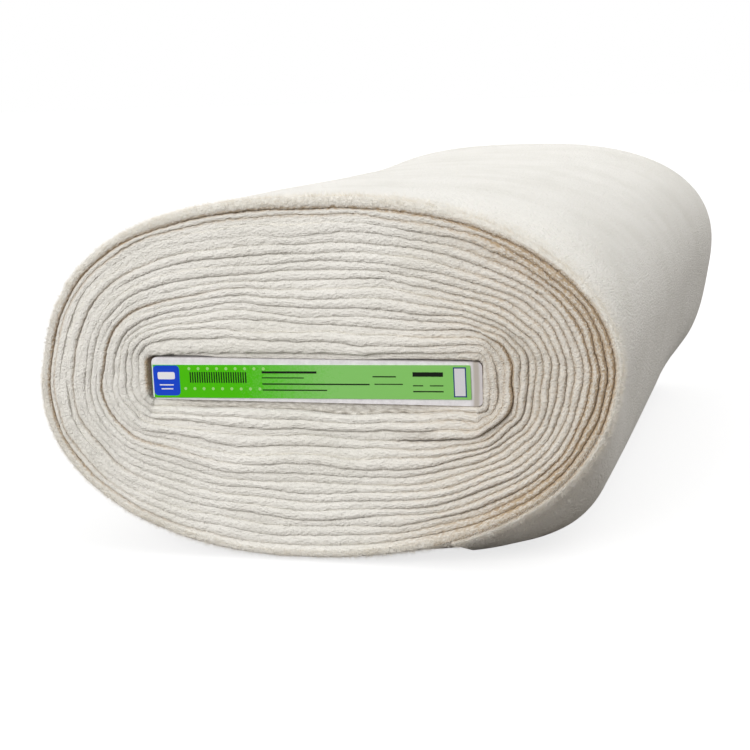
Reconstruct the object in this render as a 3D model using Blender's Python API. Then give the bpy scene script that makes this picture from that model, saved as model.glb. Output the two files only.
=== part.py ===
"""Bolt of cotton quilting batting, doubled over and wound on a flat cardboard board.

Metres, +Z up. The labelled end faces -Y, the roll runs along +Y, and the origin is
the middle of the bounding box on the surface that the roll rests on.
"""

import math

import bmesh
import bpy
from mathutils import Vector

# Board: the trade's flat bolt board, 8 in by 1 in, as long as the folded cloth is wide.
BOARD_WIDTH = 0.2032
BOARD_THICKNESS = 0.0254
BOARD_LENGTH = 0.5715
BOARD_CORNER = 0.0030
BOARD_SETBACK = 0.0025

# Label: a thin strip stuck a little askew on the board's front end.
LABEL_WIDTH = 0.1962
LABEL_HEIGHT = 0.0199
LABEL_THICKNESS = 0.0004
LABEL_CORNER = 0.0006
LABEL_CENTRE = (-0.0031, -0.0003)
LABEL_TILT = math.radians(0.85)

# Clearance between pieces that touch, and the slack of the first turn beside and over the board.
GAP = 0.0003
SLACK_LEFT = 0.0022
SLACK_ABOVE = 0.0009

# Winding: each turn is one doubled thickness of batting, its fold standing out at the ends.
TURNS = 17.5
POINTS_PER_TURN = 48
ROLL_LENGTH = 0.578
FOLD_RELIEF = 0.0024
LOOSE_END_ANGLE = math.radians(-59.0)

# The cloth is pressed thinner at both cut ends, and the turns beside an end climb over it.
END_SQUASH = 0.45
END_REACH = 0.15
STEP_POWER = 13.0
STEP_FADE = 1.6

# Outline of the wound roll across its length, measured from the board's middle.
HALF_WIDTH = 0.1774
HEIGHT_ABOVE = 0.1064
DEPTH_BELOW = 0.1130
FRONT_LIFT = 0.0039
CENTRE_X = 0.0032
CENTRE_Z = 0.0013
LEAN = 0.17
FLAT_SPOT_SAG = 0.0024

# Roundness of each quarter, from upper right anticlockwise: 2 is an ellipse, more is squarer.
BODY_ROUNDNESS = (2.40, 2.80, 1.98, 4.60)
FRONT_ROUNDNESS = (1.89, 2.80, 1.98, 2.29)
FAR_ROUNDNESS = (2.40, 2.80, 1.98, 3.40)
FRONT_TAPER = 0.050

# The roll narrows a little to its far end and is slack about three quarters of the way there.
FAR_WIDTH_SCALE = 0.983
WAIST = 0.0045

# Each quarter of a turn lies flat on the board's edge up to the first of these angles,
# rounds the board's corner up to the second, and lies flat on its face past that.
CORNER_START = math.radians(27.0)
CORNER_STOP = math.radians(54.0)

# Depths behind the front folds' tips at which the roll's section is set out.
FRONT_DEPTH = FOLD_RELIEF
BACK_DEPTH = ROLL_LENGTH - FOLD_RELIEF
BETWEEN_DEPTHS = (0.010, 0.022, 0.036, 0.050, 0.140, 0.230, 0.320, 0.400, 0.470, 0.530)


def clamp01(value):
    return min(max(value, 0.0), 1.0)


def smoothstep(value):
    t = clamp01(value)
    return t * t * (3.0 - 2.0 * t)


def end_shift(turn):
    """Layers by which a turn near a cut end runs ahead of or behind an even spiral."""
    whole = math.floor(turn)
    part = turn - whole
    power = 1.0 + STEP_POWER * math.exp(-whole / STEP_FADE)
    tuck = END_SQUASH * max(0.0, 1.0 - abs(turn - 1.0) / END_REACH) ** 2
    return part ** power - part - tuck


def depth_in_layers(turn):
    """Layers between the roll's outside and the outer face of a turn counted from outside."""
    return turn + end_shift(turn) - end_shift(TURNS + 1.0 - turn)


def mix(first, second, share):
    return first + (second - first) * share


def roundness_at(quarter, depth):
    rear = mix(BODY_ROUNDNESS[quarter], FAR_ROUNDNESS[quarter], depth / ROLL_LENGTH)
    return mix(FRONT_ROUNDNESS[quarter], rear, smoothstep(depth / FRONT_TAPER))


def outer_offsets(angle, depth):
    """The roll's outline at an angle, as offsets from its middle before it leans."""
    quarter = int(angle % math.tau // (math.pi / 2.0))
    across = math.cos(angle)
    up = math.sin(angle)
    power = roundness_at(quarter, depth)
    stretch = (abs(across) ** power + abs(up) ** power) ** (-1.0 / power)
    share = depth / ROLL_LENGTH
    slack = WAIST * math.sin(math.pi * share ** 2)
    width = HALF_WIDTH * mix(1.0, FAR_WIDTH_SCALE, share) - slack
    below = DEPTH_BELOW - FRONT_LIFT * (1.0 - smoothstep(depth / FRONT_TAPER))
    height = HEIGHT_ABOVE - slack if up > 0.0 else below
    return width * stretch * across, height * stretch * up


def slot_point(angle):
    """The point of the board's clearance slot that an angle of the outline shrinks to."""
    across = math.cos(angle)
    up = math.sin(angle)
    radius = BOARD_CORNER + GAP
    half_width = BOARD_WIDTH / 2.0 - BOARD_CORNER + (SLACK_LEFT if across < 0.0 else 0.0)
    half_height = BOARD_THICKNESS / 2.0 - BOARD_CORNER + (SLACK_ABOVE if up > 0.0 else 0.0)
    steepness = math.atan2(abs(up), abs(across))
    turned = clamp01((steepness - CORNER_START) / (CORNER_STOP - CORNER_START)) * math.pi / 2.0
    x = half_width * clamp01((math.pi / 2.0 - steepness) / (math.pi / 2.0 - CORNER_STOP))
    z = half_height * clamp01(steepness / CORNER_START)
    x += radius * math.cos(turned)
    z += radius * math.sin(turned)
    return math.copysign(x, across), math.copysign(z, up)


def winding_point(turn, layers, depth):
    """A point on the ray of a turn's angle, a number of layers in from the outside."""
    angle = LOOSE_END_ANGLE + math.tau * turn
    x_offset, z_offset = outer_offsets(angle, depth)
    outer_x = CENTRE_X + x_offset + LEAN * z_offset
    outer_z = CENTRE_Z + z_offset
    inner_x, inner_z = slot_point(angle)
    share = layers / (TURNS + 1.0)
    x = mix(outer_x, inner_x, share)
    z = mix(outer_z, inner_z, share)
    return Vector((x, depth, max(z, CENTRE_Z - DEPTH_BELOW + FLAT_SPOT_SAG)))


def crease_point(index, depth):
    turn = index / POINTS_PER_TURN
    return winding_point(turn, depth_in_layers(turn), depth)


def fold_point(index, depth):
    turn = index / POINTS_PER_TURN
    middle = (depth_in_layers(turn) + depth_in_layers(turn + 1.0)) / 2.0
    return winding_point(turn, middle, depth)


def make_section(bm, crease_key, fold_key, depth):
    """The spiral section: per step of the winding, two faces that meet on the fold's line."""
    steps = round(TURNS * POINTS_PER_TURN)
    creases = []
    for index in range(steps + POINTS_PER_TURN + 1):
        vert = bm.verts.new(crease_point(index, depth))
        vert[crease_key] = index + 1
        creases.append(vert)
    folds = []
    for index in range(steps + 1):
        vert = bm.verts.new(fold_point(index, depth))
        vert[fold_key] = index + 1
        folds.append(vert)
    for index in range(steps):
        inner = index + POINTS_PER_TURN
        bm.faces.new((creases[index], creases[index + 1], folds[index + 1], folds[index]))
        bm.faces.new((folds[index], folds[index + 1], creases[inner + 1], creases[inner]))


def place_section(verts, crease_key, fold_key, depth, relief):
    """Moves one section's points to their places, its folds standing out by the relief."""
    for vert in verts:
        if vert[crease_key]:
            vert.co = crease_point(vert[crease_key] - 1, depth)
        else:
            vert.co = fold_point(vert[fold_key] - 1, depth)
            vert.co.y += relief


def make_roll():
    bm = bmesh.new()
    crease_key = bm.verts.layers.int.new("crease")
    fold_key = bm.verts.layers.int.new("fold")
    make_section(bm, crease_key, fold_key, FRONT_DEPTH)
    front = list(bm.verts)
    section = bm.verts[:] + bm.edges[:] + bm.faces[:]
    for depth in (*BETWEEN_DEPTHS, BACK_DEPTH):
        section = bmesh.ops.extrude_face_region(bm, geom=section)["geom"]
        moved = [item for item in section if isinstance(item, bmesh.types.BMVert)]
        place_section(moved, crease_key, fold_key, depth, 0.0)
    place_section(front, crease_key, fold_key, FRONT_DEPTH, -FOLD_RELIEF)
    place_section(moved, crease_key, fold_key, BACK_DEPTH, FOLD_RELIEF)
    bmesh.ops.recalc_face_normals(bm, faces=bm.faces)
    return mesh_object("batting_roll", bm)


def make_slab(name, size, corner, segments):
    """A flat bar around its own middle, its four edges along Y rounded."""
    bm = bmesh.new()
    bmesh.ops.create_cube(bm, size=1.0)
    bmesh.ops.scale(bm, vec=size, verts=bm.verts)
    long_edges = [edge for edge in bm.edges if edge.verts[0].co.y != edge.verts[1].co.y]
    bmesh.ops.bevel(bm, geom=long_edges, offset=corner, segments=segments, profile=0.5,
                    affect="EDGES", material=-1)
    return mesh_object(name, bm)


def make_board():
    board = make_slab("bolt_board", (BOARD_WIDTH, BOARD_LENGTH, BOARD_THICKNESS), BOARD_CORNER, 5)
    board.location = (0.0, BOARD_SETBACK + BOARD_LENGTH / 2.0, 0.0)
    return board


def make_label():
    label = make_slab("board_label", (LABEL_WIDTH, LABEL_THICKNESS, LABEL_HEIGHT), LABEL_CORNER, 3)
    across, up = LABEL_CENTRE
    label.location = (across, BOARD_SETBACK - GAP - LABEL_THICKNESS / 2.0, up)
    label.rotation_euler = (0.0, -LABEL_TILT, 0.0)
    return label


def mesh_object(name, bm):
    mesh = bpy.data.meshes.new(name)
    bm.to_mesh(mesh)
    bm.free()
    mesh.shade_smooth()
    mesh.set_sharp_from_angle(angle=math.radians(35.0))
    obj = bpy.data.objects.new(name, mesh)
    bpy.context.scene.collection.objects.link(obj)
    return obj


def paint(obj, name, colour, roughness):
    material = bpy.data.materials.new(name)
    material.use_nodes = True
    shader = material.node_tree.nodes["Principled BSDF"]
    shader.inputs["Base Color"].default_value = (*colour, 1.0)
    shader.inputs["Roughness"].default_value = roughness
    shader.inputs["Metallic"].default_value = 0.0
    obj.data.materials.append(material)


def stand_on_origin(pieces, measured):
    """Hangs the pieces on one empty that puts the roll's middle over the origin."""
    corners = [vert.co for vert in measured.data.vertices]
    low = Vector([min(corner[axis] for corner in corners) for axis in range(3)])
    high = Vector([max(corner[axis] for corner in corners) for axis in range(3)])
    stand = bpy.data.objects.new("roll_stand", None)
    stand.location = (-(low.x + high.x) / 2.0, -(low.y + high.y) / 2.0, -low.z)
    bpy.context.scene.collection.objects.link(stand)
    for piece in pieces:
        piece.parent = stand


def main():
    for obj in list(bpy.data.objects):
        bpy.data.objects.remove(obj, do_unlink=True)
    roll = make_roll()
    paint(roll, "natural_cotton_batting", (0.80, 0.77, 0.71), 0.95)
    board = make_board()
    paint(board, "white_lined_cardboard", (0.78, 0.76, 0.74), 0.80)
    label = make_label()
    paint(label, "printed_paper_label", (0.25, 0.60, 0.10), 0.45)
    stand_on_origin((roll, board, label), roll)


main()
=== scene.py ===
# %% [markdown]
# # A bolt of cotton quilting batting
# Natural cotton batting is folded in half along its length and wound on a flat cardboard
# bolt board, so each turn shows a soft rounded fold at the labelled end and two cut edges at
# the other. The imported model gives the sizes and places, and this script gives the looks: the
# real wound sheet, its fibres, the board, the label, the light and the camera.

# %% The frame
import math

import bmesh
import bpy
import numpy as np
from mathutils import Matrix, Vector


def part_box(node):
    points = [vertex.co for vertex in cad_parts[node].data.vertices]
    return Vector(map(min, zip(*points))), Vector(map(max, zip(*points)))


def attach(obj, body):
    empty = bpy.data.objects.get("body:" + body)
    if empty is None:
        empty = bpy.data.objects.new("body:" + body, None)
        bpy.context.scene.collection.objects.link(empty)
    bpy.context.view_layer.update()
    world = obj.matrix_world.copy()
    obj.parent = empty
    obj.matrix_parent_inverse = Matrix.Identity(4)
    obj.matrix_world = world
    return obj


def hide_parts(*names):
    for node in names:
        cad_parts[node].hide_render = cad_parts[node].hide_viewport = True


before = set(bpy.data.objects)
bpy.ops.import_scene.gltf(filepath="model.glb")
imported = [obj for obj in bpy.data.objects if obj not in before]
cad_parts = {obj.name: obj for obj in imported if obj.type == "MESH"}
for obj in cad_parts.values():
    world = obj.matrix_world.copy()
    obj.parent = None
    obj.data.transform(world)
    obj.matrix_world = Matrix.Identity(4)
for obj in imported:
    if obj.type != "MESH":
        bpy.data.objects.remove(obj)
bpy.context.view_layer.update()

print("frame nodes:", sorted(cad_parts))

# %% [markdown]
# ## Sizes
# The board and the roll come from the frame. The winding itself follows the solid's own rule:
# an outline made of four superellipse quarters, a slot round the board, and a number of
# layers between them. Millimetres are written as multiples of one thousandth of a metre.

# %% Sizes from the frame
MM = 0.001
ROLL_LOW, ROLL_HIGH = (Vector(corner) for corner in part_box("batting_roll"))
BOARD_LOW, BOARD_HIGH = (Vector(corner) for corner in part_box("bolt_board"))
FRONT = ROLL_LOW.y
BACK = ROLL_HIGH.y
FLOOR = ROLL_LOW.z
ROLL_LENGTH = BACK - FRONT
BOARD_X = (BOARD_LOW.x + BOARD_HIGH.x) / 2.0
BOARD_Z = (BOARD_LOW.z + BOARD_HIGH.z) / 2.0
HALF_BOARD_WIDTH = (BOARD_HIGH.x - BOARD_LOW.x) / 2.0
HALF_BOARD_THICKNESS = (BOARD_HIGH.z - BOARD_LOW.z) / 2.0
print(f"roll {ROLL_LENGTH:.3f} m long, board middle at x {BOARD_X:.4f}, z {BOARD_Z:.4f}")

# %% Sizes of the winding, as in the solid
TURNS = 17.5
LOOSE_END_ANGLE = math.radians(-59.0)
END_SQUASH = 0.45
INNER_END_SQUASH = 0.86
END_REACH = 0.15
STEP_POWER = 13.0
STEP_FADE = 1.6
HALF_WIDTH = 177.4 * MM
HEIGHT_ABOVE = 106.4 * MM
DEPTH_BELOW = 113.0 * MM
FRONT_LIFT = 3.9 * MM
CENTRE_X = 3.2 * MM
CENTRE_Z = 1.3 * MM
LEAN = 0.17
BODY_ROUNDNESS = np.array((2.40, 2.80, 1.98, 4.60))
FRONT_ROUNDNESS = np.array((1.89, 2.80, 1.98, 2.29))
FAR_ROUNDNESS = np.array((2.40, 2.80, 1.98, 3.40))
FRONT_TAPER = 50 * MM
FAR_WIDTH_SCALE = 0.983
WAIST = 4.5 * MM
CORNER_START = math.radians(27.0)
CORNER_STOP = math.radians(54.0)
BOARD_CORNER = 3.0 * MM
GAP = 0.3 * MM
SLACK_LEFT = 2.2 * MM
SLACK_ABOVE = 0.9 * MM
SOFT_SPREAD = math.radians(26.0)
SOFT_LAYERS = 9.0

# %% [markdown]
# ## Camera
# The reference view looks at the labelled end from a little above and to the right, with a
# long lens. Its three angles and its distance were found by fitting the roll's outline, and
# the camera is built from them rather than by eye.

# %% Camera
CAMERA_YAW = math.radians(16.49)
CAMERA_PITCH = math.radians(10.37)
CAMERA_ROLL = math.radians(-1.99)
CAMERA_FOCAL_PX = 1683.0
PHOTO_SIDE_PX = 750.0
SENSOR_WIDTH_MM = 36.0
ROLL_FROM_CAMERA = Vector((-37.2 * MM, 4.1 * MM, 982.0 * MM))


def make_camera():
    """A camera whose axes are x right, y down and z ahead, turned by the fitted angles."""
    ahead_is_y = Matrix(((1, 0, 0), (0, 0, -1), (0, 1, 0)))
    turned = (
        Matrix.Rotation(CAMERA_ROLL, 3, "Z")
        @ Matrix.Rotation(CAMERA_PITCH, 3, "X")
        @ Matrix.Rotation(CAMERA_YAW, 3, "Y")
        @ ahead_is_y
    )
    board_end = Vector((BOARD_X, FRONT, BOARD_Z))
    place = board_end - turned.transposed() @ ROLL_FROM_CAMERA
    right, down, ahead = turned
    axes = Matrix((right, -down, -ahead)).transposed()
    data = bpy.data.cameras.new("photo_camera")
    data.sensor_width = SENSOR_WIDTH_MM
    data.lens = SENSOR_WIDTH_MM * CAMERA_FOCAL_PX / PHOTO_SIDE_PX
    data.clip_end = 20.0
    camera = bpy.data.objects.new("photo_camera", data)
    camera.matrix_world = Matrix.Translation(place) @ axes.to_4x4()
    bpy.context.scene.collection.objects.link(camera)
    bpy.context.scene.camera = camera
    return camera


camera = make_camera()
camera_place = tuple(round(value, 3) for value in camera.matrix_world.translation)
print(f"camera at {camera_place}, lens {camera.data.lens:.1f} mm")

# %% [markdown]
# ## Helpers for materials
# Colours are written as sRGB hex, the way a colour picker shows them, and turned to the
# linear values that the shader works in. One small function adds a node with its settings
# and links, so that a material reads as a list of steps.

# %% Colour and node helpers
def linear(hex_colour):
    """An sRGB hex colour as a linear RGBA tuple."""
    channels = [int(hex_colour[i:i + 2], 16) / 255.0 for i in (0, 2, 4)]
    return (*(c / 12.92 if c <= 0.04045 else ((c + 0.055) / 1.055) ** 2.4 for c in channels), 1.0)


def add_node(material, kind, settings=(), inputs=()):
    """One node: settings are its properties, inputs its sockets' values or links."""
    tree = material.node_tree
    node = tree.nodes.new(kind)
    for name, value in dict(settings).items():
        setattr(node, name, value)
    for name, value in dict(inputs).items():
        socket = node.inputs[name]
        if isinstance(value, bpy.types.NodeSocket):
            tree.links.new(value, socket)
        else:
            socket.default_value = value
    return node


def new_material(name):
    """An empty material with its output node."""
    material = bpy.data.materials.new(name)
    material.use_nodes = True
    material.node_tree.nodes.clear()
    return material


def finish_material(material, shader):
    add_node(material, "ShaderNodeOutputMaterial", inputs={"Surface": shader.outputs["BSDF"]})
    return material


def ramp(material, factor, stops):
    """A colour ramp from a list of positions and colours."""
    node = add_node(material, "ShaderNodeValToRGB", inputs={"Fac": factor})
    elements = node.color_ramp.elements
    while len(elements) < len(stops):
        elements.new(0.5)
    for element, (position, colour) in zip(elements, stops):
        element.position = position
        element.color = colour
    return node


# %% [markdown]
# ## Batting
# Needle-felted natural cotton is a soft sheet about 2 mm thick with a matt, slightly hairy
# face. It is off-white with faint warm and cool clouds. The needles leave it in small tufts,
# which follow the cloth round its folds. The creases get painted shade, grey, and some of
# them painted warm shade, golden brown. The winding writes both as vertex attributes, so the
# painted shade stays with the cloth from every side.

# %% Batting material
FELT_CLOUD = 55 * MM
FELT_CLUMP = 7 * MM
FELT_TUFT = 1.8 * MM
FELT_GRAIN = 1.2 * MM
FELT_RELIEF = 0.8 * MM


def batting_material(name, top, low, shadow, warm_shade):
    material = new_material(name)
    place = add_node(material, "ShaderNodeTexCoord").outputs["Object"]
    laid = add_node(material, "ShaderNodeAttribute", {"attribute_name": "cloth"}).outputs["Vector"]
    shaded = add_node(material, "ShaderNodeAttribute", {"attribute_name": "shaded"}).outputs["Fac"]
    painted_warm_shade = add_node(material, "ShaderNodeAttribute", {"attribute_name": "painted_warm_shade"}).outputs["Fac"]
    clouds = add_node(material, "ShaderNodeTexNoise", inputs={
        "Vector": place, "Scale": 1.0 / FELT_CLOUD, "Detail": 3.0, "Roughness": 0.55})
    clumps = add_node(material, "ShaderNodeTexNoise", inputs={
        "Vector": place, "Scale": 1.0 / FELT_CLUMP, "Detail": 3.0, "Roughness": 0.5})
    grain = add_node(material, "ShaderNodeTexNoise", inputs={
        "Vector": place, "Scale": 1.0 / FELT_GRAIN, "Detail": 2.0, "Roughness": 0.6})
    tufts = add_node(material, "ShaderNodeTexVoronoi", {"feature": "SMOOTH_F1"}, {
        "Vector": laid, "Scale": 1.0 / FELT_TUFT, "Smoothness": 0.35})
    tone = add_node(material, "ShaderNodeMath", {"operation": "MULTIPLY_ADD"}, {
        0: grain.outputs["Fac"], 1: 0.8, 2: clouds.outputs["Fac"]})
    cloth = ramp(material, tone.outputs[0], [(0.60, linear(low)), (1.10, linear(top))])
    broken = add_node(material, "ShaderNodeMath", {"operation": "MULTIPLY_ADD"}, {
        0: tufts.outputs["Distance"], 1: 2.2, 2: 0.15})
    # Painted shade: the creases are darkened towards the shadow colour, then warmed towards the golden
    # brown of the painted warm shade, both broken up by the tufts.
    in_shade = add_node(material, "ShaderNodeMath", {"operation": "MULTIPLY", "use_clamp": True}, {
        0: shaded, 1: broken.outputs[0]})
    darker = add_node(material, "ShaderNodeMix", {"data_type": "RGBA"}, {
        "Factor": in_shade.outputs[0], 6: cloth.outputs["Color"], 7: linear(shadow)})
    in_warm_shade = add_node(material, "ShaderNodeMath", {"operation": "MULTIPLY", "use_clamp": True}, {
        0: painted_warm_shade, 1: broken.outputs[0]})
    warm_shaded = add_node(material, "ShaderNodeMix", {"data_type": "RGBA"}, {
        "Factor": in_warm_shade.outputs[0], 6: darker.outputs[2], 7: linear(warm_shade)})
    soft = add_node(material, "ShaderNodeMath", {"operation": "MULTIPLY_ADD"}, {
        0: grain.outputs["Fac"], 1: 1.0, 2: clumps.outputs["Fac"]})
    height = add_node(material, "ShaderNodeMath", {"operation": "MULTIPLY_ADD"}, {
        0: tufts.outputs["Distance"], 1: -0.7, 2: soft.outputs[0]})
    bump = add_node(material, "ShaderNodeBump", inputs={
        "Strength": 1.0, "Distance": FELT_RELIEF, "Height": height.outputs[0]})
    shader = add_node(material, "ShaderNodeBsdfPrincipled", inputs={
        "Base Color": warm_shaded.outputs[2], "Normal": bump.outputs["Normal"]})
    shader.inputs["Roughness"].default_value = 0.95
    shader.inputs["Specular IOR Level"].default_value = 0.1
    shader.inputs["Sheen Weight"].default_value = 0.25
    shader.inputs["Sheen Roughness"].default_value = 0.5
    return finish_material(material, shader)


# The last two colours are the painted shade and the painted warm shade of the creases.
BATTING = batting_material("needle_felted_natural_cotton", "F3F0E9", "E8E5DC", "A8A298", "BFA98C")

# %% [markdown]
# ## The winding
# A turn is counted in from the loose end, and its angle runs anticlockwise as seen from the
# labelled end. The cloth's place between the outside and the board is counted in layers. Near
# a cut end the layers climb over its step, and everywhere they wander a little, because soft
# cloth never packs evenly.

# %% The outline and the slot
def mix(first, second, share):
    return first + (second - first) * share


def smoothstep(value):
    t = np.clip(value, 0.0, 1.0)
    return t * t * (3.0 - 2.0 * t)


def swelling(value, middle, half_length):
    """1 about a middle, easing to 0 at a half length from it."""
    return smoothstep(1.7 - 1.7 * np.abs(value - middle) / half_length)


# Troughs: middle and half reach in degrees round the roll, middle and half width in
# millimetres behind the front, and depth in millimetres.
TROUGHS = (
    (10.0, 55.0, 388.0, 30.0, 1.3),
    (2.0, 45.0, 448.0, 26.0, 1.7),
    (16.0, 60.0, 503.0, 30.0, 1.6),
    (52.0, 50.0, 330.0, 50.0, 0.9),
    (96.0, 46.0, 250.0, 70.0, 0.8),
)


def trough_depth(angle, depth):
    """How far the slack cloth sinks in a few soft troughs that run round the far half."""
    sunk = 0.0
    for middle, half_reach, middle_depth, half_width, deep in TROUGHS:
        off = np.mod(np.degrees(angle) - middle + 180.0, 360.0) - 180.0
        around = swelling(off, 0.0, half_reach)
        along = swelling(depth / MM, middle_depth, half_width)
        sunk = sunk + deep * MM * around * along
    return sunk


def outer_offsets(angle, depth):
    """The roll's outline at an angle and a depth behind the front, before it leans."""
    quarter = (np.mod(angle, math.tau) // (math.pi / 2.0)).astype(int) % 4
    across, up = np.cos(angle), np.sin(angle)
    share = depth / ROLL_LENGTH
    entry = smoothstep(depth / FRONT_TAPER)
    rear = mix(BODY_ROUNDNESS[quarter], FAR_ROUNDNESS[quarter], share)
    power = mix(FRONT_ROUNDNESS[quarter], rear, entry)
    stretch = (np.abs(across) ** power + np.abs(up) ** power) ** (-1.0 / power)
    slack = WAIST * np.sin(math.pi * np.clip(share, 0.0, 1.0) ** 2)
    width = HALF_WIDTH * mix(1.0, FAR_WIDTH_SCALE, share) - slack
    below = DEPTH_BELOW - FRONT_LIFT * (1.0 - entry)
    height = np.where(up > 0.0, HEIGHT_ABOVE - slack, below)
    stretch = stretch * (1.0 - trough_depth(angle, depth) / HALF_WIDTH)
    return width * stretch * across, height * stretch * up


# Where the first turn stands slack over the board: middle and half width in millimetres.
SLACK_PLACES = ((-80.0, 24.0), (70.0, 42.0))


def slot_point(angle):
    """The point of the board's slot that an angle shrinks to."""
    across, up = np.cos(angle), np.sin(angle)
    radius = BOARD_CORNER + GAP
    half_width = HALF_BOARD_WIDTH - BOARD_CORNER + np.where(across < 0.0, SLACK_LEFT, 0.0)
    half_height = HALF_BOARD_THICKNESS - BOARD_CORNER
    steepness = np.arctan2(np.abs(up), np.abs(across))
    corner_share = (steepness - CORNER_START) / (CORNER_STOP - CORNER_START)
    turned = np.clip(corner_share, 0.0, 1.0) * math.pi / 2.0
    x = half_width * np.clip((math.pi / 2.0 - steepness) / (math.pi / 2.0 - CORNER_STOP), 0.0, 1.0)
    x = np.sign(across) * (x + radius * np.cos(turned))
    lifted = SLACK_ABOVE * sum(swelling(x / MM, middle, half) for middle, half in SLACK_PLACES)
    half_height = half_height + np.where(up > 0.0, lifted, 0.0)
    z = half_height * np.clip(steepness / CORNER_START, 0.0, 1.0)
    return x, np.sign(up) * (z + radius * np.sin(turned))


def slot_offsets(angle, layers_out):
    """The slot's point, averaged over nearby angles further out, where turns round off."""
    spread = SOFT_SPREAD * smoothstep(layers_out / SOFT_LAYERS)
    x, z = 0.0, 0.0
    for shift, weight in ((-1.0, 0.125), (-0.5, 0.25), (0.0, 0.25), (0.5, 0.25), (1.0, 0.125)):
        near_x, near_z = slot_point(angle + shift * spread)
        x, z = x + weight * near_x, z + weight * near_z
    return x, z


# %% [markdown]
# Gentle waves of random direction and phase, summed, make a smooth field without a texture.
# One field moves whole bundles of turns together, and others thin and thicken each turn by
# itself, push its fold forward or back, and raise lumps and needle ribs along it. All are
# drawn from one seeded generator, so each run is the same.

# %% Waves
RANDOM = np.random.default_rng(17)


def wave_field(count, shortest, longest):
    """Random waves over two coordinates: directions, lengths, phases and weights."""
    angle = RANDOM.uniform(0.0, math.tau, count)
    length = RANDOM.uniform(shortest, longest, count)
    phase = RANDOM.uniform(0.0, math.tau, count)
    return math.tau * np.cos(angle) / length, math.tau * np.sin(angle) / length, phase


def wave_line(count, shortest, longest):
    """Random waves along the cloth only."""
    length = RANDOM.uniform(shortest, longest, count)
    return math.tau / length, np.zeros(count), RANDOM.uniform(0.0, math.tau, count)


def waves_at(field, first, second=0.0):
    """The field's height at two coordinates, about -1 to 1."""
    total = 0.0
    for along, over, phase in zip(*field):
        total = total + np.sin(along * first + over * second + phase)
    return total / math.sqrt(2.0 * len(field[0]))


BUNDLE_WAVES = wave_field(14, 40.0, 110.0)
RIPPLE_WAVES = wave_field(18, 16.0, 42.0)
TURN_WAVES = wave_line(16, 24.0, 90.0)
STAND_WAVES = wave_line(10, 110.0, 420.0)
NUDGE_WAVES = wave_line(14, 18.0, 60.0)
LUMP_WAVES = wave_field(24, 4.5, 12.0)
RIB_WAVES = wave_field(30, 2.7, 4.6)

# %% [markdown]
# The listed part of the packing: where the turns bulge, where a gap stays open between
# two of them, which creases are deeper or shallower or get painted warm shade, golden brown,
# and where the cloth is puckered at the board's corners. A place along the cloth is a turn,
# and a place on the roll's end is in millimetres from the board's middle.

# %% Bulges, gaps and puckers
# Bulges: middle x and z, reach in x and z, and layers pushed inwards.
BULGES = (
    (-18.0, 26.0, 26.0, 16.0, -0.40),
    (28.0, 30.0, 24.0, 16.0, 0.28),
    (-60.0, -36.0, 30.0, 16.0, 0.30),
    (-10.0, -40.0, 26.0, 18.0, 0.22),
    (60.0, -40.0, 26.0, 18.0, -0.26),
)
# The next four: middle turn, half length in turns, and layers moved, share of a layer left
# open, change of depth, or strength of the painted warm shade, golden brown.
TURN_SHIFTS = (
    (1.60, 0.34, 0.34),
    (2.62, 0.30, 0.08),
)
OPEN_GAPS = (
    (1.56, 0.30, 0.030),
    (2.58, 0.26, 0.010),
    (1.16, 0.16, 0.080),
    (2.16, 0.15, 0.075),
    (3.17, 0.14, 0.060),
    (4.17, 0.13, 0.040),
    (5.66, 0.14, 0.040),
    (8.66, 0.12, 0.025),
    (10.66, 0.14, 0.060),
    (12.16, 0.10, 0.045),
    (14.20, 0.09, 0.110),
    (13.99, 0.030, 0.14),
)
CREASE_CHANGES = (
    (1.58, 0.34, 0.4),
    (2.60, 0.30, -0.5),
    (3.62, 0.28, -1.15),
    (4.62, 0.26, -1.10),
    (5.66, 0.22, 0.7),
    (6.64, 0.20, -0.85),
    (7.62, 0.20, -0.75),
    (8.66, 0.20, 0.6),
    (9.64, 0.18, -0.8),
    (10.66, 0.20, 1.0),
    (11.62, 0.14, -0.7),
    (12.66, 0.16, 0.4),
    (15.18, 0.22, -1.6),
    (16.18, 0.22, -1.9),
    (17.18, 0.22, -1.9),
)
WARM_SHADED_CREASES = (
    (1.56, 0.36, 0.62),
    (2.56, 0.30, 0.36),
    (5.66, 0.18, 0.20),
    (10.66, 0.22, 0.50),
    (1.16, 0.22, 0.40),
    (2.16, 0.20, 0.36),
    (3.17, 0.18, 0.34),
    (4.17, 0.16, 0.30),
    (14.20, 0.14, 0.60),
    (17.64, 0.12, 0.80),
)
# Puckers: middle x and z, reach, and degrees of twist.
PUCKERS = (
    (106.0, -27.0, 13.0, 14.0),
    (-110.0, -26.0, 10.0, -10.0),
)
LAYERS = TURNS + 1.0

# %% How the turns are packed
OUTER_SPAN = (165.0, 100.0)
INNER_SPAN = (100.0, 12.0)
DRIFT_WITH_DEPTH = 0.10
BUNDLE_SHIFT = 0.36
RIPPLE_SHIFT = 0.15
SINGLE_SHIFT = (0.12, 0.18)
CREASE_DEPTH = 0.86
CREASE_DEPTH_RIGHT = 0.50
CREASE_DEPTH_WAVE = 0.22
CREASE_CHANGE = 0.6
CREASE_LIMITS = (0.30, 2.6)
WARM_SHADE_RIGHT = 0.22
OPEN_RIGHT = 0.008
OPEN_FACTOR = 0.6


def end_shift(turn, squash):
    """Layers by which a turn near a cut end runs ahead of or behind an even spiral."""
    whole = np.floor(turn)
    part = turn - whole
    power = 1.0 + STEP_POWER * np.exp(-whole / STEP_FADE)
    tuck = squash * np.clip(1.0 - np.abs(turn - 1.0) / END_REACH, 0.0, None) ** 2
    return part ** power - part - tuck


def path_mm(turn):
    """About how far along the cloth a turn is, in millimetres from the loose end."""
    return 920.0 * turn - 13.0 * turn ** 2


def turn_angle(turn):
    return LOOSE_END_ANGLE + math.tau * turn


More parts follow.
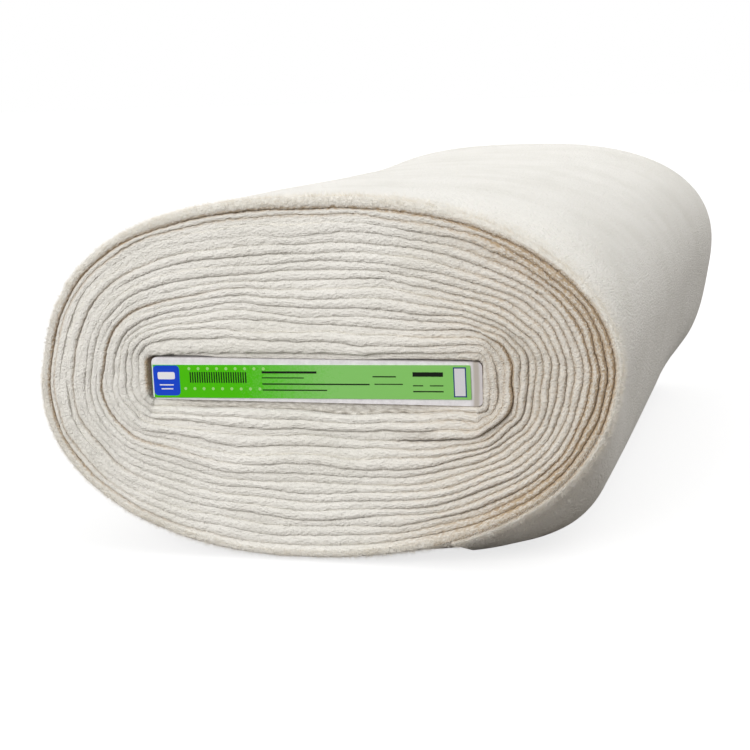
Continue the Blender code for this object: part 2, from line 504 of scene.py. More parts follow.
def depth_in_layers(turn, depth):
    """Layers between the outside and the outer face of a turn."""
    even = turn + end_shift(turn, END_SQUASH) - end_shift(TURNS + 1.0 - turn, INNER_END_SQUASH)
    inside = np.clip(even / 2.0, 0.0, 1.0) * np.clip((LAYERS - even) / 1.5, 0.0, 1.0)
    around = even / LAYERS
    x = mix(OUTER_SPAN[0], INNER_SPAN[0], around) * np.cos(turn_angle(turn))
    z = mix(OUTER_SPAN[1], INNER_SPAN[1], around) * np.sin(turn_angle(turn))
    drift = DRIFT_WITH_DEPTH * depth / MM
    bundle = waves_at(BUNDLE_WAVES, x + drift, 1.6 * z)
    ripple = waves_at(RIPPLE_WAVES, x + drift, 0.9 * z)
    single = waves_at(TURN_WAVES, path_mm(turn) + 0.6 * drift)
    looseness = mix(0.25, 1.0, np.clip(around * 1.3, 0.0, 1.0))
    placed = 0.0
    for centre_x, centre_z, reach_x, reach_z, layers in BULGES:
        off = ((x - centre_x) / reach_x) ** 2 + ((z - centre_z) / reach_z) ** 2
        placed = placed + layers * np.exp(-off)
    shifted = 0.0
    for middle, half_length, layers in TURN_SHIFTS:
        shifted = shifted + layers * swelling(turn, middle, half_length)
    rough = np.clip((around - 0.35) / 0.5, 0.0, 1.0)
    packed = (BUNDLE_SHIFT * looseness * bundle + RIPPLE_SHIFT * rough * ripple
              + mix(*SINGLE_SHIFT, rough) * single + placed)
    return even + shifted + inside * packed


def on_the_right(turn):
    """1 to the right of the board, where the roll is wound loosest, and 0 elsewhere."""
    return smoothstep(1.5 * np.cos(turn_angle(turn)) - 0.2)


def crease_depth(turn):
    """How deep the crease over a turn is, in millimetres: plump folds leave deep ones."""
    waves = waves_at(STAND_WAVES, 1.3 * path_mm(turn) + 900.0)
    depth = CREASE_DEPTH + CREASE_DEPTH_RIGHT * on_the_right(turn) + CREASE_DEPTH_WAVE * waves
    for middle, half_length, change in CREASE_CHANGES:
        depth = depth + CREASE_CHANGE * change * swelling(turn, middle, half_length)
    return np.clip(depth, *CREASE_LIMITS)


def crease_warm_shade(turn):
    """How much painted warm shade, golden brown, the crease over a turn gets: a few get much, and all on
    the right a little.
    """
    warm_shade = WARM_SHADE_RIGHT * on_the_right(turn)
    for middle, half_length, strength in WARM_SHADED_CREASES:
        warm_shade = warm_shade + strength * swelling(turn, middle, half_length)
    return np.clip(warm_shade, 0.0, 1.0)


def crease_wander(turn):
    """How far the crease over a turn wanders between its neighbours, in layers."""
    fine = 0.05 * waves_at(RIB_WAVES, path_mm(turn), 40.0)
    coarse = 0.03 * waves_at(LUMP_WAVES, path_mm(turn), 90.0)
    return (fine + coarse) * smoothstep((turn - 1.0) / 0.2) * smoothstep((LAYERS - turn) / 0.3)


def open_share(turn):
    """The share of a layer left open on either side of the crease over a turn."""
    share = OPEN_RIGHT * on_the_right(turn)
    for middle, half_length, width in OPEN_GAPS:
        share = share + OPEN_FACTOR * width * swelling(turn, middle, half_length)
    return share * smoothstep((turn - 0.97) / 0.06) * smoothstep((LAYERS - turn) / 0.3)


def winding_point(turn, layers, depth):
    """Places on a turn's ray, some layers in from the outside, in the roll's own frame."""
    x_offset, z_offset = outer_offsets(turn_angle(turn), depth)
    outer_x = CENTRE_X + x_offset + LEAN * z_offset
    outer_z = CENTRE_Z + z_offset
    inner_x, inner_z = slot_offsets(turn_angle(turn), np.maximum(LAYERS - layers, 0.0))
    share = layers / LAYERS
    return mix(outer_x, inner_x, share), mix(outer_z, inner_z, share)


def puckered(x, z, depth):
    """Twists the cloth a little round each pucker, less with depth and never at the board."""
    off_board = np.hypot(np.clip(np.abs(x) - HALF_BOARD_WIDTH, 0.0, None),
                         np.clip(np.abs(z) - HALF_BOARD_THICKNESS, 0.0, None))
    free = smoothstep(off_board / (9 * MM)) * (1.0 - smoothstep(depth / (70 * MM)))
    for centre_x, centre_z, reach, degrees in PUCKERS:
        dx, dz = x - centre_x * MM, z - centre_z * MM
        twist = math.radians(degrees) * free * np.exp(-(dx ** 2 + dz ** 2) / (reach * MM) ** 2)
        x = centre_x * MM + dx * np.cos(twist) - dz * np.sin(twist)
        z = centre_z * MM + dx * np.sin(twist) + dz * np.cos(twist)
    return x, z


# %% [markdown]
# ## The cloth
# The real cloth is one long sheet, so the piece starts as one too: a flat grid, its thickness
# given by an extrusion, and then wound up by moving its points. Along the grid runs the
# winding. Across it runs the doubled width: from one cut edge at the back, over the rounded
# fold at the front, to the other cut edge. Two faces of the extrusion are the cloth's two
# faces. A straight stretch inside the roll needs few points, and the fold has many.

# %% Cross-section of the doubled cloth
FOLD_DEPTH = 2.9 * MM
PLY = 2.0 * MM
BACK_RECESS = 1.0 * MM


def cloth_section(fold_steps, flat_shares):
    """Across the doubled cloth: the fold's angle and the share of the run behind it."""
    bend = np.linspace(-math.pi / 2.0, math.pi / 2.0, fold_steps + 1)
    run = np.array(flat_shares)
    quarter = np.full(len(run), math.pi / 2.0)
    return np.concatenate((-quarter, bend, quarter)), np.concatenate((run[::-1], 0.0 * bend, run))


INNER_SECTION = cloth_section(6, (0.005, 0.71, 1.0))
OUTER_SECTION = cloth_section(6, (0.005, 0.022, 0.045, 0.08, *np.linspace(0.16, 0.96, 9), 1.0))


def flat_cloth(along_steps, across_steps):
    """A flat grid with an upper and a lower face: x and y run -1 to 1, z is 0 or 1."""
    bm = bmesh.new()
    bmesh.ops.create_grid(bm, x_segments=along_steps, y_segments=across_steps, size=1.0)
    grown = bmesh.ops.extrude_face_region(bm, geom=bm.verts[:] + bm.edges[:] + bm.faces[:])
    lifted = [item for item in grown["geom"] if isinstance(item, bmesh.types.BMVert)]
    bmesh.ops.translate(bm, vec=(0.0, 0.0, 1.0), verts=lifted)
    return bm


# %% [markdown]
# Each point of the flat cloth knows its turn, its place round the fold and which face it is
# on. From these come its depth behind the front, its layer and so its place in the roll.

# %% How the folds stand, in millimetres
FOLD_SETBACK = 0.9
FOLD_STAND = 1.1
FOLD_NUDGE = 0.30
LUMP_HEIGHT = 0.12
RIB_HEIGHT = 0.10
FOLD_ARC = math.radians(52.0)
# Recesses: middle turn, half length in turns, and millimetres further back.
RECESSES = (
    (1.58, 0.42, 0.6),
    (3.10, 1.20, 0.4),
)
# Stretches set back, or forward if negative: first and last turn, how many turns each end
# takes to fade in, and millimetres further back.
STRETCHES_BACK = (
    (16.80, 17.03, 0.04, 0.04, 4.2),
    (13.88, 13.995, 0.08, 0.014, 1.3),
    (13.985, 14.20, 0.014, 0.12, -1.1),
)
INNER_END_RECESS = 1.4


def between(value, start, stop, start_fade, stop_fade):
    """1 between a start and a stop, fading to 0 just inside each."""
    return smoothstep((value - start) / start_fade) * smoothstep((stop - value) / stop_fade)


def fold_tip(turn):
    """How far behind the roll's front plane the fold of a turn stands."""
    travel = path_mm(turn)
    recess = INNER_END_RECESS * smoothstep((turn - 17.1) / 0.2)
    for middle, half_length, back in RECESSES:
        recess = recess + back * swelling(turn, middle, half_length)
    for start, stop, start_fade, stop_fade, back in STRETCHES_BACK:
        recess = recess + back * between(turn, start, stop, start_fade, stop_fade)
    stand = FOLD_STAND * waves_at(STAND_WAVES, travel) * smoothstep(turn - 0.6)
    return (FOLD_SETBACK + recess + stand + FOLD_NUDGE * waves_at(NUDGE_WAVES, travel)) * MM


# %% Painted shade in the creases
# Stretches given painted shade: first and last turn, how many turns each end takes to fade in, strength.
SHADED_STRETCHES = (
    (16.815, 17.00, 0.03, 0.03, 0.38),
    (13.955, 13.992, 0.033, 0.006, 0.25),
)
SHADE_PER_MM = 0.11
SHADE_PER_GAP = 3.0
DEEPEST_SHADE = 0.7
RIGHT_SIDE_WARM_SHADE = 0.18
RIM_WARM_SHADE = 0.30


def crease_tints(turn, bend, run, crease):
    """How much painted shade, grey, and painted warm shade, golden brown, the cloth gets. Both stay near
    the folds.
    """
    outer_side = bend < 0.0
    crease_turn = np.where(outer_side, turn, turn + 1.0)
    on_the_outside = outer_side & (turn < 0.99)
    front_end = np.where(on_the_outside, 0.0, 1.0 - smoothstep(run / 0.3))
    valley = smoothstep((np.abs(bend) - 0.75) / 0.82)
    wide_valley = smoothstep((np.abs(bend) - 0.35) / 1.1)
    # Painted shade in the valleys: more for deeper creases and wider gaps.
    shade = SHADE_PER_MM * crease / MM + SHADE_PER_GAP * open_share(crease_turn)
    shaded = valley * np.clip(shade, 0.0, DEEPEST_SHADE)
    for *stretch, strength in SHADED_STRETCHES:
        shaded = shaded + strength * between(turn, *stretch)
    # Painted warm shade over the right side of the roll, strongest near the rim.
    right_warm_shade = on_the_right(turn) * (RIGHT_SIDE_WARM_SHADE + RIM_WARM_SHADE * np.exp(-((turn - 1.8) / 1.6) ** 2))
    painted_warm_shade = wide_valley * crease_warm_shade(crease_turn) + right_warm_shade
    return shaded * front_end, painted_warm_shade * front_end


# %% Winding the cloth
BACK_GAP = 0.035
RAGGED_BACK = 0.8
RAGGED_LIMIT = 2.0
PLY_GAP = 0.04


def wound_places(turn, bend, run, inside):
    """World places of the cloth's points, and what its colour and pattern need."""
    travel = path_mm(turn)
    tip = fold_tip(turn)
    ragged = RAGGED_BACK + RAGGED_BACK * waves_at(STAND_WAVES, travel + 500.0 * np.sign(bend))
    reach = ROLL_LENGTH - BACK_RECESS - np.clip(ragged, 0.0, RAGGED_LIMIT) * MM - FOLD_DEPTH - tip
    round_fold = FOLD_DEPTH / MM * bend
    swell = (LUMP_HEIGHT * waves_at(LUMP_WAVES, travel, round_fold)
             + RIB_HEIGHT * waves_at(RIB_WAVES, travel, round_fold))
    crease = np.where(bend < 0.0, crease_depth(turn), crease_depth(turn + 1.0)) * MM
    arc = FOLD_ARC * bend / (math.pi / 2.0)
    behind = crease * (1.0 - np.cos(arc)) / (1.0 - math.cos(FOLD_ARC)) - swell * MM * np.cos(arc)
    behind = np.where(inside, PLY + 0.2 * MM, behind)
    behind = np.where(run > 0.0, FOLD_DEPTH + run * reach, behind)
    depth = tip + behind
    outer = depth_in_layers(turn, depth)
    inner = depth_in_layers(turn + 1.0, depth)
    at_fold = np.where(run > 0.0, 0.0, 1.0)
    outer = outer + at_fold * crease_wander(turn)
    inner = inner + at_fold * crease_wander(turn + 1.0)
    low = at_fold * open_share(turn) + BACK_GAP * (run > 0.99)
    high = at_fold * open_share(turn + 1.0) + BACK_GAP * (run > 0.99)
    spread = np.where(inside, PLY_GAP, 0.5) * np.sin(arc) / math.sin(FOLD_ARC)
    share = 0.5 + spread + np.where(inside, 0.0, low * (0.5 - spread) - high * (0.5 + spread))
    x, z = winding_point(turn, mix(outer, inner, share), depth)
    x, z = puckered(x, z, depth)
    places = np.column_stack((BOARD_X + x, FRONT + depth, np.maximum(BOARD_Z + z, FLOOR)))
    shaded, painted_warm_shade = crease_tints(turn, bend, run, crease)
    across = np.sign(bend) * (FOLD_DEPTH * np.abs(bend) + run * reach)
    cloth_map = np.column_stack((travel * MM, across, np.where(inside, PLY, 0.0)))
    return places, shaded, painted_warm_shade, cloth_map


STEP_ALONG = 1.0 * MM


def wind(name, first_turn, last_turn, section):
    """One stretch of the cloth, wound into the roll."""
    angles, runs = section
    length = (path_mm(last_turn) - path_mm(first_turn)) * MM
    bm = flat_cloth(round(length / STEP_ALONG), len(angles) - 1)
    mesh = bpy.data.meshes.new(name)
    bm.to_mesh(mesh)
    bm.free()
    flat = np.empty(len(mesh.vertices) * 3)
    mesh.vertices.foreach_get("co", flat)
    flat = flat.reshape(-1, 3)
    turn = mix(first_turn, last_turn, (flat[:, 0] + 1.0) / 2.0)
    column = np.rint((flat[:, 1] + 1.0) / 2.0 * (len(angles) - 1)).astype(int)
    inside = flat[:, 2] > 0.5
    places, shaded, painted_warm_shade, cloth_map = wound_places(turn, angles[column], runs[column], inside)
    mesh.vertices.foreach_set("co", places.ravel())
    mesh.attributes.new("shaded", "FLOAT", "POINT").data.foreach_set("value", shaded)
    mesh.attributes.new("painted_warm_shade", "FLOAT", "POINT").data.foreach_set("value", painted_warm_shade)
    mesh.attributes.new("cloth", "FLOAT_VECTOR", "POINT").data.foreach_set("vector", cloth_map.ravel())
    return mesh, length


def finish_cloth(name, mesh):
    """Turns the wound mesh's faces outwards, smooths its shading and makes the object."""
    bm = bmesh.new()
    bm.from_mesh(mesh)
    bmesh.ops.recalc_face_normals(bm, faces=bm.faces)
    bm.to_mesh(mesh)
    bm.free()
    mesh.shade_smooth()
    mesh.set_sharp_from_angle(angle=math.radians(65.0))
    mesh.materials.append(BATTING)
    piece = bpy.data.objects.new(name, mesh)
    bpy.context.scene.collection.objects.link(piece)
    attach(piece, "root")
    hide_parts("batting_roll")
    return piece


STRETCHES = (
    ("batting_outer_turn", 0.0, 1.12, OUTER_SECTION),
    ("batting_second_to_fifth_turns", 1.12, 4.5, INNER_SECTION),
    ("batting_middle_turns", 4.5, 8.5, INNER_SECTION),
    ("batting_inner_turns", 8.5, 12.8, INNER_SECTION),
    ("batting_first_wound_turns", 12.8, TURNS, INNER_SECTION),
)
cloth_pieces = []
for name, first_turn, last_turn, section in STRETCHES:
    mesh, length = wind(name, first_turn, last_turn, section)
    piece = finish_cloth(name, mesh)
    cloth_pieces.append(piece)
    print(f"{name}: {length:.2f} m of cloth, {2 * len(mesh.polygons)} triangles")

# %% [markdown]
# ## Fibres
# Cotton felt is never clean-edged: loose fibres stand off it, thickest along the rim where
# the outer turn was handled. A single cotton fibre is about 0.02 mm thick, too fine to show,
# so each one here stands for a wisp of them. It is a three-sided needle of four triangles, and
# thousands of copies are joined into one mesh with arrays, which is quick and stays light.

# %% Fibres
FIBRE_RADIUS = 0.06 * MM
ROOT_DEPTH = 0.15 * MM


def needle_arrays():
    """One needle's points and triangles: unit radius, unit length, along +Z."""
    bm = bmesh.new()
    bmesh.ops.create_cone(bm, cap_ends=True, segments=3, radius1=1.0, radius2=0.0, depth=1.0)
    bmesh.ops.remove_doubles(bm, verts=bm.verts, dist=0.001)
    bmesh.ops.translate(bm, vec=(0.0, 0.0, 0.5), verts=bm.verts)
    bmesh.ops.triangulate(bm, faces=bm.faces)
    bm.verts.index_update()
    points = np.array([vert.co[:] for vert in bm.verts])
    faces = np.array([[vert.index for vert in face.verts] for face in bm.faces])
    bm.free()
    return points, faces


def cloth_faces(piece):
    """Corners, middles, normals, areas and cloth map of the faces on the cloth's outside."""
    mesh = piece.data
    count = len(mesh.polygons)
    corners = np.empty(count * 4, dtype=int)
    mesh.polygons.foreach_get("vertices", corners)
    corners = corners.reshape(-1, 4)
    places = np.empty(len(mesh.vertices) * 3)
    mesh.vertices.foreach_get("co", places)
    places = places.reshape(-1, 3)
    normals = np.empty(count * 3)
    mesh.polygons.foreach_get("normal", normals)
    areas = np.empty(count)
    mesh.polygons.foreach_get("area", areas)
    laid = np.empty(len(mesh.vertices) * 3)
    mesh.attributes["cloth"].data.foreach_get("vector", laid)
    laid = laid.reshape(-1, 3)[corners]
    outside = laid[:, :, 2].max(axis=1) < 0.5 * PLY
    normals = normals.reshape(-1, 3)
    return places[corners][outside], normals[outside], areas[outside], laid[outside].mean(axis=1)


def sow(corners, normals, weights, count, shortest, longest, lean, forward=0.0):
    """Roots, directions and lengths of fibres spread over faces by weight."""
    chosen = RANDOM.choice(len(weights), size=count, p=weights / weights.sum())
    s, t = RANDOM.random((2, count, 1))
    quad = corners[chosen]
    roots = mix(mix(quad[:, 0], quad[:, 1], s), mix(quad[:, 3], quad[:, 2], s), t)
    ways = normals[chosen] + lean * RANDOM.normal(size=(count, 3)) - forward * np.array((0.0, 1.0, 0.0))
    ways /= np.linalg.norm(ways, axis=1, keepdims=True)
    lengths = RANDOM.uniform(shortest, longest, count) * RANDOM.uniform(0.5, 1.0, count)
    above = roots[:, 2] + lengths * ways[:, 2] > FLOOR + 2.0 * FIBRE_RADIUS
    return roots[above], ways[above], lengths[above]


def make_fibres(name, roots, ways, lengths, material):
    """Joins one needle per root into a single mesh."""
    points, faces = needle_arrays()
    helper = np.where(np.abs(ways[:, 2:3]) < 0.9, [[0.0, 0.0, 1.0]], [[1.0, 0.0, 0.0]])
    side = np.cross(helper, ways)
    side /= np.linalg.norm(side, axis=1, keepdims=True)
    other = np.cross(ways, side)
    start = roots - ways * ROOT_DEPTH
    thick = points[None, :, 0:1] * side[:, None] + points[None, :, 1:2] * other[:, None]
    along = lengths[:, None, None] * points[None, :, 2:3] * ways[:, None]
    places = start[:, None] + FIBRE_RADIUS * thick + along
    offsets = np.arange(len(roots))[:, None, None] * len(points)
    mesh = bpy.data.meshes.new(name)
    mesh.from_pydata(places.reshape(-1, 3), [], (faces[None] + offsets).reshape(-1, 3))
    mesh.materials.append(material)
    piece = bpy.data.objects.new(name, mesh)
    bpy.context.scene.collection.objects.link(piece)
    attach(piece, "root")
    print(f"{name}: {len(roots)} fibres, {len(mesh.polygons)} triangles")


def fibre_material():
    material = new_material("loose_cotton_fibres")
    place = add_node(material, "ShaderNodeTexCoord").outputs["Object"]
    patches = add_node(material, "ShaderNodeTexNoise", inputs={
        "Vector": place, "Scale": 1.0 / (8 * MM), "Detail": 2.0})
    colour = ramp(material, patches.outputs["Fac"], [(0.35, linear("EFE8DB")), (0.65, linear("FAF7F1"))])
    shader = add_node(material, "ShaderNodeBsdfPrincipled", inputs={
        "Base Color": colour.outputs["Color"]})
    shader.inputs["Roughness"].default_value = 0.9
    shader.inputs["Specular IOR Level"].default_value = 0.2
    return finish_material(material, shader)


FIBRES = fibre_material()
RIM_REACH = 9 * MM
# Fibres on the rim, on the folds and over the outside, for each stretch of the cloth.
FIBRE_COUNTS = ((41500, 1500, 6500), (0, 3000, 0), (0, 3000, 0), (0, 3000, 0), (0, 2500, 0))
# Shortest and longest fibre, how far they lean, and how far they lean forward.
FOLD_FIBRES = (0.7 * MM, 1.8 * MM, 0.7)
RIM_FIBRES = (1.5 * MM, 5.5 * MM, 0.6, 0.6)
SURFACE_FIBRES = (0.8 * MM, 2.4 * MM, 0.9)
for piece, (rim_count, face_count, surface_count) in zip(cloth_pieces, FIBRE_COUNTS):
    corners, normals, areas, laid = cloth_faces(piece)
    front = corners[:, :, 1].mean(axis=1) - FRONT
    fold = np.abs(laid[:, 1]) < 1.4 * FOLD_DEPTH
    batches = [sow(corners, normals, areas * fold, face_count, *FOLD_FIBRES)]
    if rim_count:
        rim = (laid[:, 1] < 0.6 * FOLD_DEPTH) & (front < 4 * RIM_REACH)
        thick = np.exp(-(front / RIM_REACH) ** 2)
        batches.append(sow(corners, normals, areas * rim * thick, rim_count, *RIM_FIBRES))
        free = (laid[:, 1] < 0.0) & (front > 4 * MM)
        batches.append(sow(corners, normals, areas * free, surface_count, *SURFACE_FIBRES))
    roots, ways, lengths = (np.concatenate(part) for part in zip(*batches))
    make_fibres(piece.name.replace("batting", "fibres"), roots, ways, lengths, FIBRES)

# %% [markdown]
# ## Board
# The bolt board is cardboard lined with white paper. Its shape in the frame is right, so the
# node stays and gets the finish: chalky white, lilac-grey with faint bands over the last few
# millimetres of its rounded right end, and a little scuffing.

# %% Board material
def board_material():
    material = new_material("white_lined_cardboard")
    place = add_node(material, "ShaderNodeTexCoord").outputs["Object"]
    grain = add_node(material, "ShaderNodeTexNoise", inputs={
        "Vector": place, "Scale": 1.0 / (3 * MM), "Detail": 5.0, "Roughness": 0.6})
    across = add_node(material, "ShaderNodeSeparateXYZ", inputs={"Vector": place})
    bands = add_node(material, "ShaderNodeTexWave", {"wave_type": "BANDS", "bands_direction": "X"}, {
        "Vector": place, "Scale": 0.05 / (1.0 * MM), "Distortion": 1.5, "Detail": 2.0})
    end = add_node(material, "ShaderNodeMapRange", inputs={
        "Value": across.outputs["X"],
        "From Min": BOARD_HIGH.x - 8 * MM, "From Max": BOARD_HIGH.x - 5 * MM})
    white = ramp(material, grain.outputs["Fac"], [(0.35, linear("E0DDDF")), (0.65, linear("F0EDEF"))])
    lilac = ramp(material, bands.outputs["Fac"], [(0.2, linear("B9B1A8")), (0.8, linear("CFCACB"))])
    colour = add_node(material, "ShaderNodeMix", {"data_type": "RGBA"}, {
        "Factor": end.outputs["Result"], 6: white.outputs["Color"], 7: lilac.outputs["Color"]})
    bump = add_node(material, "ShaderNodeBump", inputs={
        "Strength": 0.3, "Distance": 0.1 * MM, "Height": grain.outputs["Fac"]})
    shader = add_node(material, "ShaderNodeBsdfPrincipled", inputs={
        "Base Color": colour.outputs[2], "Normal": bump.outputs["Normal"]})
    shader.inputs["Roughness"].default_value = 0.75
    return finish_material(material, shader)


def dress_node(node_name, material):
    """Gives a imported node's object one material."""
    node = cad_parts[node_name]
    node.data.materials.clear()
    node.data.materials.append(material)


dress_node("bolt_board", board_material())

# %% [markdown]
# ## Label
# The label is a strip of coated paper printed by offset: a strong green at its left end pales
# to the right through a dot screen, drawn coarser than a real one so that it shows. The strip
# itself is the frame's node. The print on it is a plain blue panel, evenly spaced bars, rows
# of pale dots, thin rules and an empty window. Each is a very thin slab of ink on the paper,
# laid out in millimetres from the strip's middle and then tilted with it.

# %% Label material
def label_material():
    material = new_material("offset_printed_green_paper")
    place = add_node(material, "ShaderNodeTexCoord").outputs["Object"]
    across = add_node(material, "ShaderNodeSeparateXYZ", inputs={"Vector": place})
    share = add_node(material, "ShaderNodeMapRange", inputs={
        "Value": across.outputs["X"], "From Min": BOARD_LOW.x, "From Max": BOARD_HIGH.x})
    screen = add_node(material, "ShaderNodeTexVoronoi", inputs={
        "Vector": place, "Scale": 1.0 / (1.1 * MM)})
    pale = add_node(material, "ShaderNodeMath", {"operation": "MULTIPLY_ADD"}, {
        0: screen.outputs["Distance"], 1: -0.12, 2: share.outputs["Result"]})
    colour = ramp(material, pale.outputs[0], [
        (0.22, linear("4CC100")), (0.50, linear("86C96A")), (0.82, linear("86C767"))])
    shader = add_node(material, "ShaderNodeBsdfPrincipled", inputs={
        "Base Color": colour.outputs["Color"]})
    shader.inputs["Roughness"].default_value = 0.6
    shader.inputs["Specular IOR Level"].default_value = 0.12
    return finish_material(material, shader)


dress_node("board_label", label_material())


# %% Printed shapes
LABEL_LOW, LABEL_HIGH = (Vector(corner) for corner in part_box("board_label"))
LABEL_MIDDLE = (LABEL_LOW + LABEL_HIGH) / 2.0
LABEL_TILT = math.radians(0.85)
INK_THICKNESS = 0.06 * MM


def ink_material(name, colour):
    material = new_material(name)
    place = add_node(material, "ShaderNodeTexCoord").outputs["Object"]
    cover = add_node(material, "ShaderNodeTexNoise", inputs={
        "Vector": place, "Scale": 1.0 / (0.8 * MM), "Detail": 2.0})
    shade = add_node(material, "ShaderNodeMix", {"data_type": "RGBA", "blend_type": "MULTIPLY"}, {
        "Factor": 0.12, 6: linear(colour), 7: cover.outputs["Color"]})
    shader = add_node(material, "ShaderNodeBsdfPrincipled", inputs={"Base Color": shade.outputs[2]})
    shader.inputs["Roughness"].default_value = 0.6
    shader.inputs["Specular IOR Level"].default_value = 0.12
    return finish_material(material, shader)


INKS = {
    "blue": ink_material("blue_offset_ink", "1648D4"),
    "dark": ink_material("black_offset_ink", "141C10"),
    "navy": ink_material("navy_offset_ink", "24407A"),
    "pale": ink_material("pale_green_offset_ink", "A6DE83"),
    "white": ink_material("bare_white_paper", "F2F1F4"),
    "grey": ink_material("bare_grey_window", "DCDADF"),
}


def print_panel(bm, ink, left, bottom, right, top, corner=0.0, level=1):
    """One printed rectangle, its corners rounded if asked, as a thin closed slab."""
    made = bmesh.ops.create_cube(bm, size=1.0)
    middle = Vector(((left + right) / 2.0, 0.0, (bottom + top) / 2.0)) * MM
    size = Vector((right - left, INK_THICKNESS / MM * (1.0 + 0.6 * level), top - bottom)) * MM
    bmesh.ops.scale(bm, vec=size, verts=made["verts"])
    bmesh.ops.translate(bm, vec=middle, verts=made["verts"])
    faces = {face for vert in made["verts"] for face in vert.link_faces}
    for face in faces:
        face.material_index = list(INKS).index(ink)
    if corner:
        through = {edge for vert in made["verts"] for edge in vert.link_edges
                   if abs(edge.verts[0].co.y - edge.verts[1].co.y) > 1e-6}
        bmesh.ops.bevel(bm, geom=list(through), offset=corner * MM, segments=5, profile=0.5,
                        affect="EDGES", material=-1)


def print_dot(bm, ink, x, z, radius):
    upright = Matrix.Rotation(math.pi / 2.0, 3, "X")
    made = bmesh.ops.create_cone(bm, cap_ends=True, segments=12, radius1=radius * MM,
                                 radius2=radius * MM, depth=INK_THICKNESS * 1.6)
    bmesh.ops.rotate(bm, cent=(0.0, 0.0, 0.0), matrix=upright, verts=made["verts"])
    bmesh.ops.translate(bm, vec=(x * MM, 0.0, z * MM), verts=made["verts"])
    for face in {face for vert in made["verts"] for face in vert.link_faces}:
        face.material_index = list(INKS).index(ink)


BAR_COUNT = 24
BAR_STEP = 1.53
BAR_WIDTH = 0.75
DOT_COLUMNS = 9
DOT_STEP = 5.9
# Rows of dots: height and sideways shift.
DOT_ROWS = ((7.7, 0.0), (-4.4, -2.9))
# White rules: left end, height and length.
WHITE_RULES = ((-93.5, -2.2, 9.0), (-92.5, -4.6, 7.6))
# Dark rules: left and right end, height and thickness.
DARK_RULES = (
    (-28.0, 6.0, 5.6, 1.3), (-28.0, -2.0, 2.3, 0.6), (-28.0, 38.0, -1.4, 0.8),
    (-28.0, 12.0, -5.0, 0.7), (40.0, 54.0, 3.2, 0.7), (41.0, 58.0, -1.2, 0.6),
    (64.0, 82.0, 4.6, 2.6), (64.0, 70.0, -2.0, 0.6), (74.0, 82.0, -2.0, 0.6),
    (64.0, 82.0, -5.4, 0.7),
)


def make_print():
    bm = bmesh.new()
    print_panel(bm, "white", -97.9, -9.7, -97.3, 9.7)
    print_panel(bm, "blue", -97.3, -8.6, -80.4, 9.6, corner=2.4)
    print_panel(bm, "white", -94.5, 1.2, -83.4, 5.6, corner=1.0, level=2)
    for bar in range(BAR_COUNT):
        left = -73.8 + BAR_STEP * bar
        print_panel(bm, "dark", left, -0.8, left + BAR_WIDTH, 5.7)
    for column in range(DOT_COLUMNS):
        for z, shift in DOT_ROWS:
            print_dot(bm, "pale", -74.0 + DOT_STEP * column + shift, z, 0.95)
    for left, z, length in WHITE_RULES:
        print_panel(bm, "white", left, z - 0.35, left + length, z + 0.35, level=2)
    for left, right, z, height in DARK_RULES:
        print_panel(bm, "dark", left, z - height / 2.0, right, z + height / 2.0)
    print_panel(bm, "navy", 88.0, -8.6, 95.6, 8.8)
    print_panel(bm, "grey", 88.7, -7.9, 94.9, 8.1, level=2)
    bmesh.ops.recalc_face_normals(bm, faces=bm.faces)
    tilt = Matrix.Rotation(-LABEL_TILT, 3, "Y")
    place = (LABEL_MIDDLE.x, LABEL_LOW.y - 0.4 * INK_THICKNESS, LABEL_MIDDLE.z)
    bmesh.ops.rotate(bm, cent=(0.0, 0.0, 0.0), matrix=tilt, verts=bm.verts)
    bmesh.ops.translate(bm, vec=place, verts=bm.verts)
    mesh = bpy.data.meshes.new("label_print")
    bm.to_mesh(mesh)
    bm.free()
    for ink in INKS.values():
        mesh.materials.append(ink)
    piece = bpy.data.objects.new("label_print", mesh)
    bpy.context.scene.collection.objects.link(piece)
    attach(piece, "root")
    print(f"label_print: {len(mesh.polygons)} faces")


make_print()

# %% [markdown]
# ## Floor and light
# The roll lies on a plain white sweep in white surroundings, which give most of the light. A
# wide soft light from the front left lights the folds, so each has a pale upper side and a
# grey lower one. A weaker one from above on the right keeps the right flank in gentle shade,
# and a low one behind lights the cut edges at the far end.

# %% Floor
FLOOR_GLOW = 0.75
FLOOR_SHADE = (0.36, 0.36, 0.36, 1.0)
FLOOR_BOUNCE = (0.14, 0.12, 0.10, 1.0)


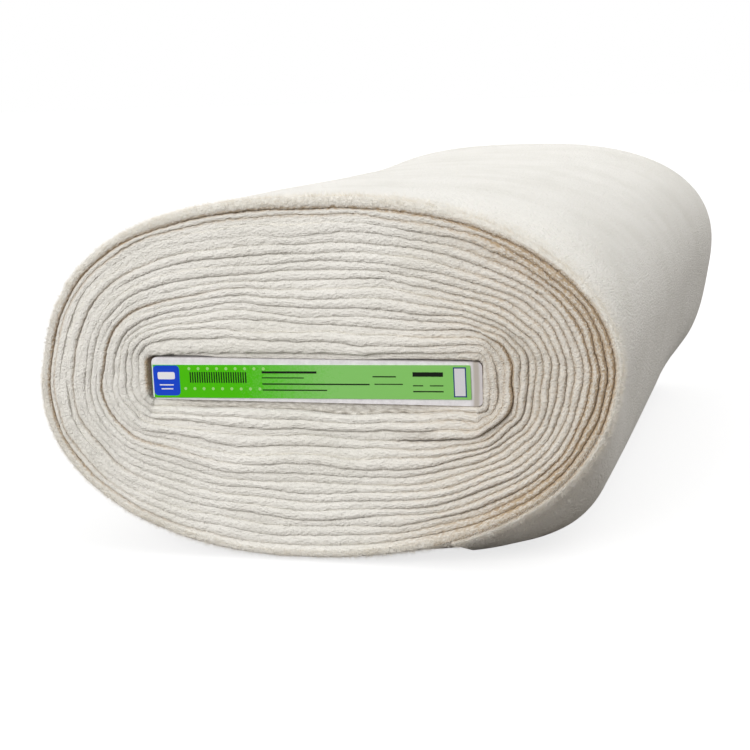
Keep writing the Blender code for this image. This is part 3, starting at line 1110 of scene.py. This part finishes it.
def floor_material():
    """White with a faint shadow where the camera sees it, and dimmer as a light from below."""
    material = new_material("lit_white_floor")
    seen = add_node(material, "ShaderNodeLightPath").outputs["Is Camera Ray"]
    shade = add_node(material, "ShaderNodeMix", {"data_type": "RGBA"}, {
        "Factor": seen, 6: FLOOR_BOUNCE, 7: FLOOR_SHADE})
    glow = add_node(material, "ShaderNodeMath", {"operation": "MULTIPLY"}, {0: seen, 1: FLOOR_GLOW})
    shader = add_node(material, "ShaderNodeBsdfPrincipled", inputs={
        "Base Color": shade.outputs[2], "Emission Strength": glow.outputs[0]})
    shader.inputs["Roughness"].default_value = 1.0
    shader.inputs["Specular IOR Level"].default_value = 0.0
    shader.inputs["Emission Color"].default_value = (1.0, 1.0, 1.0, 1.0)
    return finish_material(material, shader)


def make_floor():
    bm = bmesh.new()
    bmesh.ops.create_grid(bm, x_segments=1, y_segments=1, size=12.0)
    mesh = bpy.data.meshes.new("floor")
    bm.to_mesh(mesh)
    bm.free()
    mesh.materials.append(floor_material())
    floor = bpy.data.objects.new("floor", mesh)
    floor.location.z = FLOOR
    bpy.context.scene.collection.objects.link(floor)


make_floor()


# %% Lights
SKY_FILL = (0.59, 0.592, 0.592, 1.0)
SKY_SEEN = (1.0, 1.0, 1.0, 1.0)
LIGHTS = (
    ("key_light", 1.86, Vector((-0.37, -0.90, 0.42)), math.radians(40.0)),
    ("fill_light", 0.76, Vector((0.70, 0.10, 0.72)), math.radians(60.0)),
    ("back_light", 1.10, Vector((-0.20, 0.98, 0.04)), math.radians(60.0)),
)


def make_world():
    """White surroundings: full white where the camera sees them, dimmer as a light."""
    world = bpy.data.worlds.new("studio")
    world.use_nodes = True
    background = world.node_tree.nodes["Background"]
    seen = add_node(world, "ShaderNodeLightPath").outputs["Is Camera Ray"]
    white = add_node(world, "ShaderNodeMix", {"data_type": "RGBA"}, {
        "Factor": seen, 6: SKY_FILL, 7: SKY_SEEN})
    world.node_tree.links.new(white.outputs[2], background.inputs["Color"])
    bpy.context.scene.world = world


def make_light(name, irradiance, direction, softness):
    """A very wide soft light, the same strength everywhere."""
    data = bpy.data.lights.new(name, "SUN")
    data.energy = irradiance
    data.angle = softness
    light = bpy.data.objects.new(name, data)
    light.location = direction * 3.0
    light.rotation_euler = (-direction).to_track_quat("-Z", "Y").to_euler()
    bpy.context.scene.collection.objects.link(light)


make_world()
for name, irradiance, direction, softness in LIGHTS:
    make_light(name, irradiance, direction, softness)
bpy.context.scene.view_settings.view_transform = "Standard"
